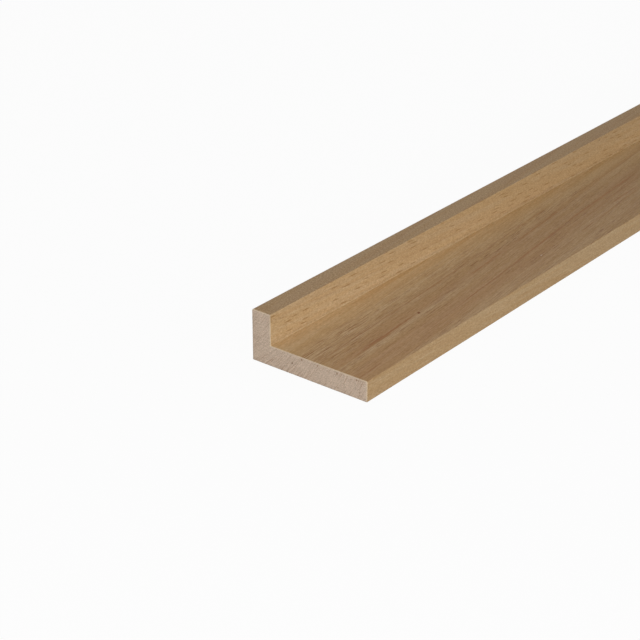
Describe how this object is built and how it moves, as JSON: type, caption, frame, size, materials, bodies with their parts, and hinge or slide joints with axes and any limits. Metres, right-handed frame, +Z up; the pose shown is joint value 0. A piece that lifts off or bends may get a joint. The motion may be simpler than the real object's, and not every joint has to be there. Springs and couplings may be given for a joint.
{
  "type": "rebated moulding",
  "caption": "Light hardwood moulding with an L-shaped section: a wide low ledge beside a narrow upstand, which leave a long rebate to seat a panel, board or pane.",
  "frame": {"origin": "middle of the underside, halfway along the length", "axes": "+X across the width from the back face to the front edge of the ledge, +Y along the length, +Z up from the underside, so that the rebate opens towards +X and +Z"},
  "size_m": [0.038, 1, 0.015],
  "materials": {
    "hardwood": "planed, clear matt"
  },
  "bodies": {
    "root": {"moulding": "hardwood"}
  },
  "joints": []
}
